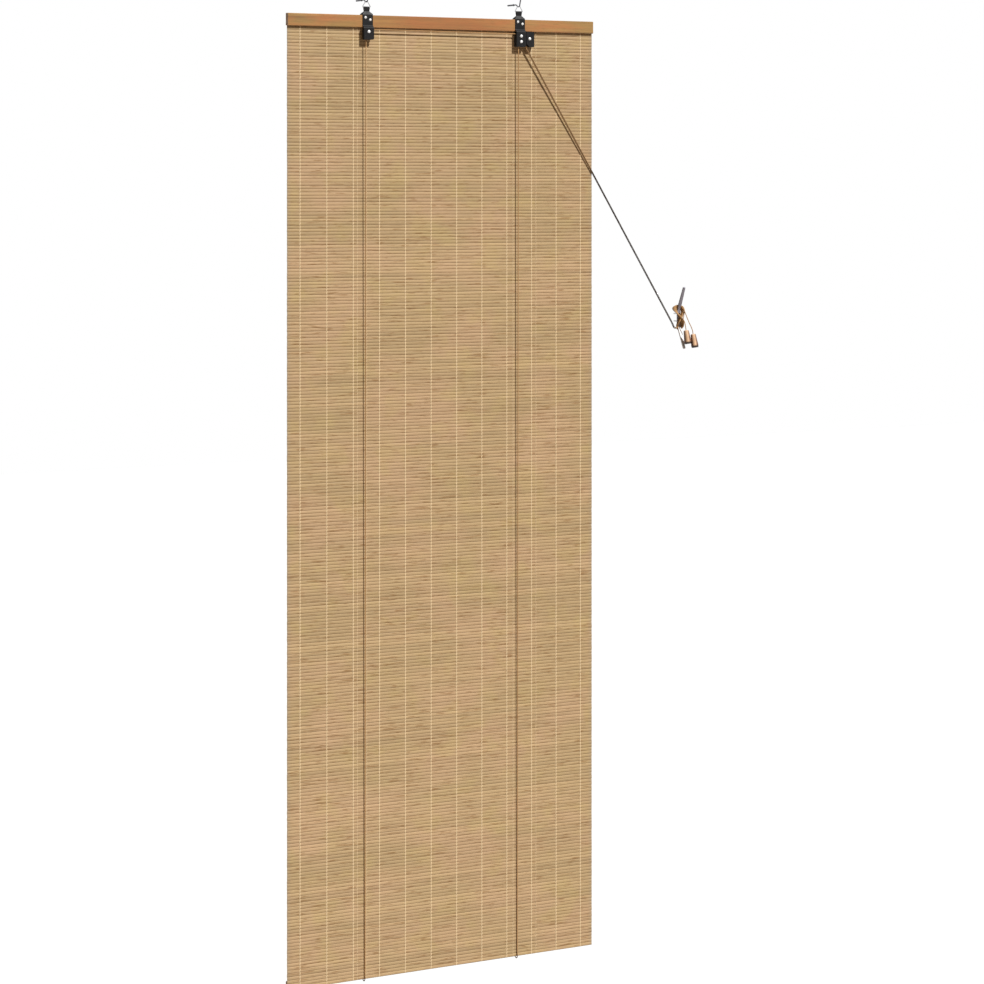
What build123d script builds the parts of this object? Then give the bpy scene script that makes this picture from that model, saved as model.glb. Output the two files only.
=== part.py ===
from build123d import *
from math import atan2, cos, hypot, radians, sin, sqrt, tan
import os

# Bamboo roll up blind, in mm, hung on two screw hooks. X runs to the right, the room is on
# the -Y side and Z is up. The wall is the plane Y = 0, and the origin lies on it, midway
# between the two hook shanks.

# Sizes of the whole blind
BLIND_WIDTH = 800.0
BLIND_HEIGHT = 2190.0
RAIL_HEIGHT = 28.0
FRONT_BATTEN = 4.5
REAR_BATTEN = 5.0
REAR_BATTEN_OVERHANG = 5.0
HANG_SPACING = 400.0
HANG_FROM_WALL = 24.5
RAIL_BELOW_SHANK = 35.0
WOOD_EDGE = 0.8

# Mat: split bamboo slats side by side, bound by rows of thread on both faces
SLAT_THICKNESS = 1.5
SLAT_PITCH_WANTED = 7.45
GROOVE_DEPTH = 0.45
GROOVE_HALF = 0.9
WARP_ROWS = 12
WARP_MARGIN = 32.0
WARP_WIDTH = 2.2
WARP_THICKNESS = 0.45
CLOSE_WARP_ROWS = (-224.0, -200.0, 184.0, 246.0)
LATH_HEIGHT = 20.0
LATH_THICKNESS = 5.0

# Cords
CORD_D = 2.0
CORD_GAP = 0.3
CORD_SPLIT_BELOW_RAIL = 42.0
CORD_EXIT_RUN = 22.0
CORD_JOIN_GAP = 0.03

# Screw hooks and bails
HOOK_WIRE_D = 3.0
HOOK_THREAD_D = 3.8
HOOK_THREAD_LENGTH = 31.5
HOOK_THREAD_PITCH = 1.8
HOOK_PLAIN_NECK = 4.0
HOOK_DIP = 4.7
HOOK_TIP_RISE = 10.5
HOOK_TIP_REACH = 8.5
BAIL_WIRE_D = 1.8
BAIL_WIDTH = 22.0
BAIL_HEIGHT = 15.2
BAIL_TOP_RADIUS = 3.4
BAIL_CORNER_RADIUS = 2.0
WIRE_PLAY = 0.08

# Brackets, folded from one strip of sheet each
SHEET = 1.2
BRACKET_WIDTH = 26.0
NECK_WIDTH = 12.6
FOLD_WIDTH = 14.8
CAGE_CORNER_R = 3.5
NECK_BOTTOM_ABOVE_RAIL = 8.5
SHOULDER_BOTTOM_ABOVE_RAIL = 2.5
REAR_LEAF_HEIGHT = 16.0
CAGE_STEP = 6.0
LEFT_CAGE_HEIGHT = 28.0
RIGHT_CAGE_HEIGHT = 36.0
BACK_LEAF_SHORTER = 3.0
BEND_RADIUS = 1.6
CORD_PORT = 5.0

# Rollers and their axles
ROLLER_ROOT_R = 4.1
ROLLER_FLANGE_R = 5.8
ROLLER_WIDTH = 6.8
ROLLER_SIDE_PLAY = 0.2
ROLLER_GROOVE = 3.4
AXLE_D = 3.0
AXLE_PLAY = 0.05
AXLE_HEAD_D = 7.4
AXLE_HEAD_HEIGHT = 2.0
AXLE_TAIL_D = 5.0
AXLE_TAIL_HEIGHT = 0.8
LEFT_AXLE_BELOW_RAIL = 10.0
UPPER_AXLE_BELOW_RAIL = 11.3
LOWER_AXLE_BELOW_RAIL = 24.1

# Cord lock beside the right bracket's rollers
CAM_AXLE_ACROSS = 22.4
CAM_AXLE_BELOW_RAIL = 17.0
CAM_HUB_R = 6.0
CAM_NOSE_R = 4.0
CAM_WIDTH = 6.8
CAM_TEETH = 5
CAM_TOOTH_DEPTH = 0.35
LOCK_RIGHT = 35.5
LOCK_CHEEK_LEFT = 14.6
LOCK_CORNER_CUTS = (7.0, 4.5)

# Screws that hold the brackets, and the cleat's screws
SCREW_D = 3.0
SCREW_LENGTH = 10.8
SCREW_HEAD_D = 6.2
SCREW_HEAD_HEIGHT = 2.0
SCREW_PLAY = 0.05
SCREW_ACROSS = 6.0
SCREW_BELOW_TOP = (5.7, 10.7)
STAPLE_WIRE_D = 1.0
STAPLE_HALF_WIDTH = 2.2
STAPLE_DEPTH = 3.5
STAPLE_BELOW_LEAF = 6.0

# Cleat on the wall and what is wound on it
CLEAT_X = 660.7
CLEAT_Z = -744.0
CLEAT_LENGTH = 145.0
CLEAT_RISE = 28.5
CLEAT_FLAT = 36.0
CLEAT_SHEET = 4.0
CLEAT_WIDTH = 8.0
CLEAT_TIP_WIDTH = 4.8
CLEAT_SCREW_APART = 18.0
CLEAT_SCREW_D = 3.5
CLEAT_SCREW_HEAD_D = 6.4
CLEAT_SCREW_LENGTH = 26.0
WINDING_R = 10.5
WINDING_TOP = 19.5
WINDING_BOTTOM = 17.5
WINDING_WAIST = 14.0
WINDING_DEPTH = 16.0
WINDING_OFF_WALL = 1.0
WINDING_PLAY = 0.2

# Wooden pulls on the cords' ends
PULL_LENGTH = 33.0
PULL_TOP_R = 6.2
PULL_BOTTOM_R = 9.0
PULL_HOLE_DEPTH = 12.0
PULL_RECESS_R = 6.6
PULL_RECESS_DEPTH = 3.0
PULL_LEAN = (0.10, -0.12, -0.99)

# Places that follow from the sizes
RAIL_TOP = -RAIL_BELOW_SHANK
RAIL_BOTTOM = RAIL_TOP - RAIL_HEIGHT
BLIND_BOTTOM = RAIL_TOP - BLIND_HEIGHT
HALF_WIDTH = BLIND_WIDTH / 2
MAT_Y = -HANG_FROM_WALL
MAT_FRONT = MAT_Y - SLAT_THICKNESS / 2
MAT_REAR = MAT_Y + SLAT_THICKNESS / 2
FRONT_BATTEN_Y = MAT_FRONT - WARP_THICKNESS
REAR_BATTEN_Y = MAT_REAR + WARP_THICKNESS
RAIL_FRONT = FRONT_BATTEN_Y - FRONT_BATTEN
RAIL_REAR = REAR_BATTEN_Y + REAR_BATTEN
LATH_REAR = REAR_BATTEN_Y + LATH_THICKNESS
BAIL_TOP_Z = -HOOK_DIP + HOOK_WIRE_D / 2 + BAIL_WIRE_D / 2 + 0.02
PIVOT_Z = BAIL_TOP_Z - BAIL_HEIGHT

FRONT_LEAF_Y = RAIL_FRONT - SHEET / 2
WEB_Y = FRONT_LEAF_Y - CAGE_STEP
WEB_FRONT = WEB_Y - SHEET / 2
ROLLER_Y = WEB_Y + SHEET / 2 + ROLLER_SIDE_PLAY + ROLLER_WIDTH / 2
BACK_LEAF_Y = ROLLER_Y + ROLLER_WIDTH / 2 + ROLLER_SIDE_PLAY + SHEET / 2
LOCK_LEAF_Y = BACK_LEAF_Y + SHEET

CORD_R = CORD_D / 2
CORD_TURN_R = ROLLER_ROOT_R + CORD_GAP + CORD_R
SIDES = {"left": -HANG_SPACING / 2, "right": HANG_SPACING / 2}
LEFT_X = SIDES["left"]
RIGHT_X = SIDES["right"]
LEFT_AXLE = (LEFT_X, RAIL_BOTTOM - LEFT_AXLE_BELOW_RAIL)
UPPER_AXLE = (RIGHT_X, RAIL_BOTTOM - UPPER_AXLE_BELOW_RAIL)
LOWER_AXLE = (RIGHT_X, RAIL_BOTTOM - LOWER_AXLE_BELOW_RAIL)
CAM_AXLE = (RIGHT_X + CAM_AXLE_ACROSS, RAIL_BOTTOM - CAM_AXLE_BELOW_RAIL)
LOWER_AXLES = {"left": LEFT_AXLE, "right": LOWER_AXLE}
SPLIT_Z = RAIL_BOTTOM - CORD_SPLIT_BELOW_RAIL

# The cords lie just in front of the mat at its foot and just behind the lath
FRONT_CORD_Y = FRONT_BATTEN_Y - CORD_GAP - CORD_R
BACK_CORD_Y = LATH_REAR + CORD_GAP + CORD_R

# Points beside the cleat, measured from its middle on the wall. The left blind cord runs
# nearer the room: both bend under the lower horn and go into the winding.
CORD_REACHES = {"left": (-29.7, -22.4, -12.6), "right": (-30.2, -20.0, -14.1)}
CORD_UNDER_HORN = {"left": (-19.2, -15.6, -23.3), "right": (-19.8, -13.2, -25.3)}
CORD_ENTERS = {"left": (-6.7, -11.4, -25.1), "right": (-7.2, -9.0, -26.9)}
PULL_TOPS = {"left": (0.8, -34.0, -29.7), "right": (18.4, -38.0, -38.9)}
CORD_END_ROUTES = {
    "left": [(0.8, -15.5, -5.3), (0.8, -27.0, -8.7), (-0.4, -32.6, -17.9)],
    "right": [(1.8, -14.5, 24.3), (4.8, -22.5, 7.3), (11.3, -31.0, -11.7), (17.2, -36.6, -27.1)],
}


def by_cleat(point):
    """A point measured from the cleat, in the blind's own frame."""
    return (CLEAT_X + point[0], point[1], CLEAT_Z + point[2])


def box(x0, x1, y0, y1, z0, z1):
    """A box between two opposite corners."""
    spans = (abs(x1 - x0), abs(y1 - y0), abs(z1 - z0))
    centre = ((x0 + x1) / 2, (y0 + y1) / 2, (z0 + z1) / 2)
    return Pos(*centre) * Box(*spans)


def across_x(face, x0, x1):
    """Extrudes a face drawn in the YZ plane from x0 to x1."""
    return Pos(x0, 0, 0) * extrude(face, amount=x1 - x0, dir=(1, 0, 0))


def across_y(face, y0, y1):
    """Extrudes a face drawn in the XZ plane from y0 to y1."""
    return Pos(0, y0, 0) * extrude(face, amount=y1 - y0, dir=(0, 1, 0))


def band(edges, thickness):
    """The face of a bent sheet seen edge on, from its middle line."""
    return make_face(offset(Wire(edges), amount=thickness / 2, side=Side.BOTH).edges())


def along_y(x, z, y0, y1, r):
    """A round bar along Y, from y0 to y1."""
    turned = Rot(90, 0, 0) * Cylinder(r, abs(y1 - y0))
    return Pos(x, (y0 + y1) / 2, z) * turned


def turned_along_y(profile, x, y, z):
    """Turns (radius, distance from y towards +Y) points into a solid about a line along Y."""
    outline = Polyline(*profile, close=True)
    solid = revolve(make_face(outline), Axis.Y)
    return Pos(x, y, z) * solid


def route(points, radii):
    """Straight runs joined by tangent arcs, one radius for each inner point."""
    return FilletPolyline(*points, radius=radii)


def bend_radii(points, least=0.0):
    """For each inner point, the arc that takes 0.45 of the shorter run beside it."""
    found = []
    for before, here, after in zip(points, points[1:], points[2:]):
        a = Vector(*here) - Vector(*before)
        b = Vector(*after) - Vector(*here)
        half = radians(a.get_angle(b)) / 2
        found.append(max(least, 0.45 * min(a.length, b.length) / tan(half)))
    return found


def tube(points, radii, diameter, name=None):
    """A round tube along straight runs joined by arcs. A name prints its length and radii."""
    path = route(points, radii) if radii else Polyline(*points)
    start = Plane(origin=path @ 0, z_dir=path % 0)
    solid = sweep(start * Circle(diameter / 2), path=path)
    if name:
        expected = path.length * 3.14159265 * diameter**2 / 4
        rounded = [round(r, 1) for r in radii]
        print(f"{name}: {path.length:.1f} mm, radii {rounded}, volume {solid.volume / expected:.4f}")
    return solid


def keep(shape, node):
    """Writes one node."""
    export_step(shape, f"parts/{node}.step")


def group(solids):
    return Compound(children=list(solids))


def batten(x0, x1, y0, y1, z0, z1):
    """A wooden lath with its long edges eased."""
    solid = box(x0, x1, y0, y1, z0, z1)
    return fillet(solid.edges().filter_by(Axis.X), WOOD_EDGE)


def screw_places():
    """(x, z) of every bracket screw, two set askew on each bracket."""
    places = []
    for x in SIDES.values():
        for side, below in zip((-1, 1), SCREW_BELOW_TOP):
            places.append((x + side * SCREW_ACROSS, RAIL_TOP - below))
    return places


def screw_bores(r):
    """Bars that cut every bracket screw's hole."""
    return [along_y(x, z, RAIL_FRONT - 3 * SHEET, RAIL_REAR - 1.6, r) for x, z in screw_places()]


def staple_places():
    """(x, z) of the staple that holds each cord's fixed end."""
    z = RAIL_TOP - REAR_LEAF_HEIGHT - STAPLE_BELOW_LEAF
    return [(x - CORD_TURN_R, z) for x in SIDES.values()]


def front_batten():
    solid = batten(-HALF_WIDTH, HALF_WIDTH, RAIL_FRONT, FRONT_BATTEN_Y, RAIL_BOTTOM, RAIL_TOP)
    return solid - screw_bores(SCREW_D / 2 + SCREW_PLAY)


def rear_batten():
    right = HALF_WIDTH + REAR_BATTEN_OVERHANG
    solid = batten(-HALF_WIDTH, right, REAR_BATTEN_Y, RAIL_REAR, RAIL_BOTTOM, RAIL_TOP)
    legs = []
    for x, z in staple_places():
        for side in (-STAPLE_HALF_WIDTH, STAPLE_HALF_WIDTH):
            r = STAPLE_WIRE_D / 2 + SCREW_PLAY
            legs.append(along_y(x + side, z, RAIL_REAR - STAPLE_DEPTH, RAIL_REAR + 1, r))
    return solid - screw_bores(SCREW_D / 2 + SCREW_PLAY) - legs


def reed_mat():
    """All slats as one ridged sheet: a flat crest for each slat and a groove between two."""
    slats = round(BLIND_HEIGHT / SLAT_PITCH_WANTED)
    pitch = BLIND_HEIGHT / slats
    front, rear = [], []
    for n in range(slats):
        top = RAIL_TOP - n * pitch
        for y, side, points in ((MAT_FRONT, 1, front), (MAT_REAR, -1, rear)):
            points.append((y + side * GROOVE_DEPTH, top))
            points.append((y, top - GROOVE_HALF))
            points.append((y, top - pitch + GROOVE_HALF))
    for y, side, points in ((MAT_FRONT, 1, front), (MAT_REAR, -1, rear)):
        points.append((y + side * GROOVE_DEPTH, BLIND_BOTTOM))
    outline = Plane.YZ * Polyline(*front, *reversed(rear), close=True)
    solid = across_x(make_face(outline), -HALF_WIDTH, HALF_WIDTH)
    return solid - screw_bores(SCREW_D / 2 + SCREW_PLAY)


def warp_places():
    """X of each row of binding thread: even rows, and closer ones beside the cords."""
    step = (BLIND_WIDTH - 2 * WARP_MARGIN) / (WARP_ROWS - 1)
    even = [-HALF_WIDTH + WARP_MARGIN + n * step for n in range(WARP_ROWS)]
    return [*even, *CLOSE_WARP_ROWS]


def warp_threads(y0, y1):
    """The threads on one face of the mat."""
    half = WARP_WIDTH / 2
    return group(box(x - half, x + half, y0, y1, BLIND_BOTTOM, RAIL_TOP) for x in warp_places())


def bottom_lath():
    top = BLIND_BOTTOM + LATH_HEIGHT
    return batten(-HALF_WIDTH, HALF_WIDTH, REAR_BATTEN_Y, LATH_REAR, BLIND_BOTTOM, top)


def ringed_shank(x, z, length, pitch, r_out, plain=1.0):
    """A wood screw's shank into the wall: a plain neck, sloping rings for its thread, a tip."""
    r_core = 0.72 * r_out
    tip = 2.5 * r_out
    rings = int((length - plain - tip) / pitch)
    profile = [(0, 0), (r_out, 0), (r_out, plain)]
    for n in range(rings):
        start = plain + n * pitch
        profile.append((r_core, start + 0.2 * pitch))
        profile.append((r_out, start + 0.7 * pitch))
        profile.append((r_out, start + 0.8 * pitch))
    profile.append((r_core, length - tip))
    profile.append((0, length))
    return turned_along_y(profile, x, 0, z)


def screw_hook(x):
    """A wire hook whose thread goes into the wall and whose trough carries the bail."""
    trough = -HANG_FROM_WALL
    points = [
        (x, 0, 0),
        (x, trough + 12.0, 0),
        (x, trough + 4.0, -HOOK_DIP),
        (x, trough - 3.5, -HOOK_DIP),
        (x, trough - HOOK_TIP_REACH, HOOK_TIP_RISE),
    ]
    wire = tube(points, [6.0, 6.0, 4.0], HOOK_WIRE_D)
    end = Pos(*points[-1]) * Sphere(HOOK_WIRE_D / 2)
    collar = along_y(x, 0, -1.0, 0, HOOK_THREAD_D / 2 + 0.6)
    r = HOOK_THREAD_D / 2
    thread = ringed_shank(x, 0, HOOK_THREAD_LENGTH, HOOK_THREAD_PITCH, r, HOOK_PLAIN_NECK)
    return wire + end + collar + thread


def bail(x):
    """A closed triangle of wire: its straight foot is the hinge pin of the bracket."""
    half = BAIL_WIDTH / 2
    y = -HANG_FROM_WALL
    # the sharp corner that, once rounded, brings the wire's top to the hook
    a = 1 - (BAIL_TOP_RADIUS / half) ** 2
    b = BAIL_HEIGHT - BAIL_TOP_RADIUS
    sharp = (b + sqrt(b**2 - a * (b**2 - BAIL_TOP_RADIUS**2))) / a
    points = [(x, y, PIVOT_Z + sharp), (x + half, y, PIVOT_Z), (x - half, y, PIVOT_Z)]
    radii = [BAIL_TOP_RADIUS, BAIL_CORNER_RADIUS, BAIL_CORNER_RADIUS]
    path = FilletPolyline(*points, radius=radii, close=True)
    start = Plane(origin=path @ 0, z_dir=path % 0)
    return sweep(start * Circle(BAIL_WIRE_D / 2), path=path)


def folded_strip(x):
    """The strip over the rail, seen from its side: rear leaf, fold round the bail, front leaf."""
    fold = BAIL_WIRE_D / 2 + WIRE_PLAY + SHEET / 2
    y = -HANG_FROM_WALL
    neck = RAIL_TOP + NECK_BOTTOM_ABOVE_RAIL
    shoulder = RAIL_TOP + 1.0
    rear_y = RAIL_REAR + SHEET / 2
    rear = [
        (rear_y, RAIL_TOP - REAR_LEAF_HEIGHT),
        (rear_y, shoulder),
        (y + fold, neck),
        (y + fold, PIVOT_Z),
    ]
    front = [
        (y - fold, PIVOT_Z),
        (y - fold, neck),
        (FRONT_LEAF_Y, shoulder),
        (FRONT_LEAF_Y, RAIL_BOTTOM + 4.0),
        (WEB_Y, RAIL_BOTTOM - 1.0),
        (WEB_Y, RAIL_BOTTOM - 2.6),
    ]
    rear_line = route(rear, [2.0, 2.0])
    arc = ThreePointArc((y + fold, PIVOT_Z), (y, PIVOT_Z + fold), (y - fold, PIVOT_Z))
    front_line = route(front, [2.0, 2.0, 2.0, 1.0])
    edges = rear_line.edges() + arc.edges() + front_line.edges()
    face = Plane.YZ * band(edges, SHEET)
    half = BRACKET_WIDTH / 2
    return across_x(face, x - half, x + half)


def strip_outline(x):
    """What the strip is cut to, seen from the front: a neck, two shoulders and the full width."""
    half = BRACKET_WIDTH / 2
    neck = NECK_WIDTH / 2
    fold = FOLD_WIDTH / 2
    top = PIVOT_Z + 5.0
    fold_bottom = PIVOT_Z - 2.0
    neck_bottom = RAIL_TOP + NECK_BOTTOM_ABOVE_RAIL
    shoulder = RAIL_TOP + SHOULDER_BOTTOM_ABOVE_RAIL
    bottom = RAIL_BOTTOM - 10.0
    points = [
        (x - fold, top),
        (x - fold, fold_bottom),
        (x - neck, neck_bottom),
        (x - half, shoulder),
        (x - half, bottom),
        (x + half, bottom),
        (x + half, shoulder),
        (x + neck, neck_bottom),
        (x + fold, fold_bottom),
        (x + fold, top),
    ]
    line = Plane.XZ * Polyline(*points, close=True)
    return across_y(make_face(line), -100.0, 100.0)


def cage(x, height):
    """The roller cage below the rail: web in front, flange on the left, leaf behind."""
    half = BRACKET_WIDTH / 2
    left = x - half + SHEET / 2
    right = x + half
    points = [
        (right, WEB_Y),
        (left, WEB_Y),
        (left, BACK_LEAF_Y),
        (right - BACK_LEAF_SHORTER, BACK_LEAF_Y),
    ]
    line = route(points, [BEND_RADIUS, BEND_RADIUS])
    face = band(line.edges(), SHEET)
    bottom = RAIL_BOTTOM - height
    top = RAIL_BOTTOM - 2.5
    solid = extrude(Pos(0, 0, bottom) * face, amount=top - bottom, dir=(0, 0, 1))
    # the web's and the back leaf's free lower corners are rounded
    tall = top - bottom + 2 * CAGE_CORNER_R
    wide = 2 * BRACKET_WIDTH
    rounded = Pos(right - wide / 2, bottom + tall / 2) * RectangleRounded(wide, tall, CAGE_CORNER_R)
    return solid & across_y(Plane.XZ * rounded, -100.0, 100.0)


def bracket(x, height, axles, cord_port=None):
    """A bracket with its holes. cord_port is the height at which a cord comes in from the left."""
    solid = (folded_strip(x) & strip_outline(x)) + cage(x, height)
    solid = solid - screw_bores(SCREW_D / 2 + SCREW_PLAY)
    for ax, az in axles:
        solid = solid - along_y(ax, az, WEB_FRONT - 1, LOCK_LEAF_Y, AXLE_D / 2 + SCREW_PLAY)
    if cord_port is not None:
        bar = Rot(0, 90, 0) * Cylinder(CORD_PORT / 2, 2 * BEND_RADIUS)
        solid = solid - Pos(x - BRACKET_WIDTH / 2, ROLLER_Y, cord_port) * bar
    return solid


def lock_housing():
    """The folded plate beside the rollers: leaf behind, wall on the right, cheek in front."""
    right = RIGHT_X + LOCK_RIGHT - SHEET / 2
    points = [
        (RIGHT_X - BRACKET_WIDTH / 2, LOCK_LEAF_Y),
        (right, LOCK_LEAF_Y),
        (right, WEB_Y),
        (RIGHT_X + LOCK_CHEEK_LEFT, WEB_Y),
    ]
    face = band(route(points, [BEND_RADIUS, BEND_RADIUS]).edges(), SHEET)
    bottom = RAIL_BOTTOM - RIGHT_CAGE_HEIGHT
    top = RAIL_BOTTOM - 0.8
    solid = extrude(Pos(0, 0, bottom) * face, amount=top - bottom, dir=(0, 0, 1))
    # the cheek's lower left corner, where the cords leave, and its upper right one are cut off
    corners = ((RIGHT_X + LOCK_CHEEK_LEFT, bottom), (right + SHEET / 2, top))
    for (corner_x, corner_z), cut in zip(corners, LOCK_CORNER_CUTS):
        side = cut * 2**0.5
        solid = solid - Pos(corner_x, WEB_Y, corner_z) * Rot(0, 45, 0) * Box(side, 2 * SHEET, side)
    for ax, az in (UPPER_AXLE, LOWER_AXLE, CAM_AXLE):
        solid = solid - along_y(ax, az, WEB_FRONT - 1, 0, AXLE_D / 2 + SCREW_PLAY)
    return solid


def axle(x, z, rear):
    """A rivet: domed head on the cage's front, bar through the roller, flat tail behind."""
    length = rear - WEB_FRONT
    r = AXLE_D / 2
    head_r = AXLE_HEAD_D / 2
    tail_r = AXLE_TAIL_D / 2
    profile = [
        (0, -AXLE_HEAD_HEIGHT),
        (0.55 * head_r, -0.85 * AXLE_HEAD_HEIGHT),
        (0.85 * head_r, -0.5 * AXLE_HEAD_HEIGHT),
        (head_r, 0),
        (r, 0),
        (r, length),
        (tail_r, length),
        (tail_r, length + AXLE_TAIL_HEIGHT),
        (0, length + AXLE_TAIL_HEIGHT),
    ]
    return turned_along_y(profile, x, WEB_FRONT, z)


def roller(x, z):
    """A grooved roller that turns on its axle."""
    half = ROLLER_WIDTH / 2
    groove = ROLLER_GROOVE / 2
    bore = AXLE_D / 2 + AXLE_PLAY
    profile = [
        (bore, -half),
        (ROLLER_FLANGE_R, -half),
        (ROLLER_FLANGE_R, -groove),
        (ROLLER_ROOT_R, -groove + 0.6),
        (ROLLER_ROOT_R, groove - 0.6),
        (ROLLER_FLANGE_R, groove),
        (ROLLER_FLANGE_R, half),
        (bore, half),
    ]
    return turned_along_y(profile, x, ROLLER_Y, z)


def pull_direction():
    """Unit vector in X and Z from the lower roller's side of the lock to the cleat."""
    x, _, z = by_cleat(CORD_REACHES["right"])
    dx, dz = x - LOWER_AXLE[0], z - LOWER_AXLE[1]
    whole = atan2(dz, dx)
    off = CORD_TURN_R / hypot(dx, dz)
    return cos(whole - off), sin(whole - off)


def offset_from(axle_at, direction, r):
    """The point at distance r from an axle, on the upper right side of a line along direction."""
    return axle_at[0] - direction[1] * r, axle_at[1] + direction[0] * r


def nip():
    """Where the cam's nose bends the left cord: beside the right cord on the lower roller."""
    return offset_from(LOWER_AXLE, pull_direction(), CORD_TURN_R + CORD_D + 0.2)


def cam_nose():
    """Centre of the cam's nose when the lock is shut: on the inside of the left cord's bend."""
    dx, dz = pull_direction()
    x, z = nip()
    down = Vector(dx, 0, dz)
    start = Vector(*left_cord_leaves_upper_roller())
    incoming = (Vector(x, ROLLER_Y, z) - start).normalized()
    middle = (incoming + down).normalized()
    reach = (CAM_NOSE_R + CORD_GAP + CORD_R) / cos(radians(incoming.get_angle(down)) / 2)
    return x - middle.Z * reach, z + middle.X * reach


def left_cord_leaves_upper_roller():
    """The point where the left cord's line to the nip leaves the upper roller."""
    x, z = nip()
    dx, dz = x - UPPER_AXLE[0], z - UPPER_AXLE[1]
    whole = atan2(dz, dx)
    turn = whole - (CORD_TURN_R / hypot(dx, dz)) * 1.047
    px, pz = offset_from(UPPER_AXLE, (cos(turn), sin(turn)), CORD_TURN_R)
    return px, ROLLER_Y, pz


def lock_cam():
    """An arm with a toothed nose that pinches the cords against the lower roller."""
    hub = Pos(*CAM_AXLE) * Circle(CAM_HUB_R)
    nose_at = cam_nose()
    nose = Pos(*nose_at) * Circle(CAM_NOSE_R)
    face = make_hull((hub + nose).edges())
    towards = atan2(nose_at[1] - CAM_AXLE[1], nose_at[0] - CAM_AXLE[0])
    for n in range(CAM_TEETH):
        angle = towards + radians(22 * (n - (CAM_TEETH - 1) / 2))
        at = Pos(nose_at[0] + CAM_NOSE_R * cos(angle), nose_at[1] + CAM_NOSE_R * sin(angle))
        face = face - at * Circle(CAM_TOOTH_DEPTH)
    face = face - Pos(*CAM_AXLE) * Circle(AXLE_D / 2 + AXLE_PLAY)
    return across_y(Plane.XZ * face, ROLLER_Y - CAM_WIDTH / 2, ROLLER_Y + CAM_WIDTH / 2)


def bracket_screw(x, z):
    """A pan head screw with a cross slot, from the front leaf into the rear batten."""
    r = SCREW_D / 2
    head_r = SCREW_HEAD_D / 2
    under = RAIL_FRONT - SHEET
    profile = [
        (0, -SCREW_HEAD_HEIGHT),
        (0.6 * head_r, -0.9 * SCREW_HEAD_HEIGHT),
        (head_r, -0.35 * SCREW_HEAD_HEIGHT),
        (head_r, 0),
        (r, 0),
        (r, SCREW_LENGTH - 2 * r),
        (0, SCREW_LENGTH),
    ]
    solid = turned_along_y(profile, x, under, z)
    for spans in ((3.0, 0.7), (0.7, 3.0)):
        slot = Box(spans[0], 1.0, spans[1])
        solid = solid - Pos(x, under - SCREW_HEAD_HEIGHT, z) * slot
    return solid


def cord_staple(x, z):
    """A wire staple whose two legs sit in the rear batten and whose crown holds the cord."""
    crown = BACK_CORD_Y + CORD_R + STAPLE_WIRE_D / 2 + 0.05
    inner = RAIL_REAR - STAPLE_DEPTH + 0.3
    half = STAPLE_HALF_WIDTH
    points = [(x - half, inner, z), (x - half, crown, z), (x + half, crown, z), (x + half, inner, z)]
    return tube(points, [0.8, 0.8], STAPLE_WIRE_D)


def cleat_strap(width, tip_width, thickness):
    """The bent bar of the cleat: flat on the wall in the middle, both horns leaning out."""
    half_flat = CLEAT_FLAT / 2
    half = CLEAT_LENGTH / 2
    rise = CLEAT_RISE - CLEAT_SHEET / 2
    y = -CLEAT_SHEET / 2
    points = [(-rise, half), (y, half_flat), (y, -half_flat), (-rise, -half)]
    face = Plane.YZ * band(route(points, [30.0, 30.0]).edges(), thickness)
    strap = across_x(face, -width / 2, width / 2)
    outline = [
        (-tip_width / 2, half + 5),
        (-width / 2, half_flat + 10),
        (-width / 2, -half_flat - 10),
        (-tip_width / 2, -half - 5),
        (tip_width / 2, -half - 5),
        (width / 2, -half_flat - 10),
        (width / 2, half_flat + 10),
        (tip_width / 2, half + 5),
    ]
    cut = across_y(make_face(Plane.XZ * Polyline(*outline, close=True)), -100.0, 100.0)
    return Pos(CLEAT_X, 0, CLEAT_Z) * (strap & cut)


def cleat_screw_places():
    return [(CLEAT_X, CLEAT_Z + side * CLEAT_SCREW_APART / 2) for side in (-1, 1)]


def cleat():
    """The cleat with its countersunk screw holes."""
    solid = cleat_strap(CLEAT_WIDTH, CLEAT_TIP_WIDTH, CLEAT_SHEET)
    for x, z in cleat_screw_places():
        solid = solid - cleat_screw_head(x, z, SCREW_PLAY)
        solid = solid - along_y(x, z, -CLEAT_SHEET, 1, CLEAT_SCREW_D / 2 + SCREW_PLAY)
    return solid


def cleat_screw_head(x, z, play):
    """The cone of a countersunk head, level with the cleat's front."""
    r = CLEAT_SCREW_D / 2 + play
    head = CLEAT_SCREW_HEAD_D / 2 + play
    depth = CLEAT_SCREW_HEAD_D / 2 - CLEAT_SCREW_D / 2
    profile = [(0, 0), (head, 0), (r, depth), (0, depth)]
    return turned_along_y(profile, x, -CLEAT_SHEET, z)


def cleat_screw(x, z):
    neck = along_y(x, z, -CLEAT_SHEET + 0.5, 0, CLEAT_SCREW_D / 2)
    shank = ringed_shank(x, z, CLEAT_SCREW_LENGTH - CLEAT_SHEET, 1.6, CLEAT_SCREW_D / 2)
    return cleat_screw_head(x, z, 0) + neck + shank


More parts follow.
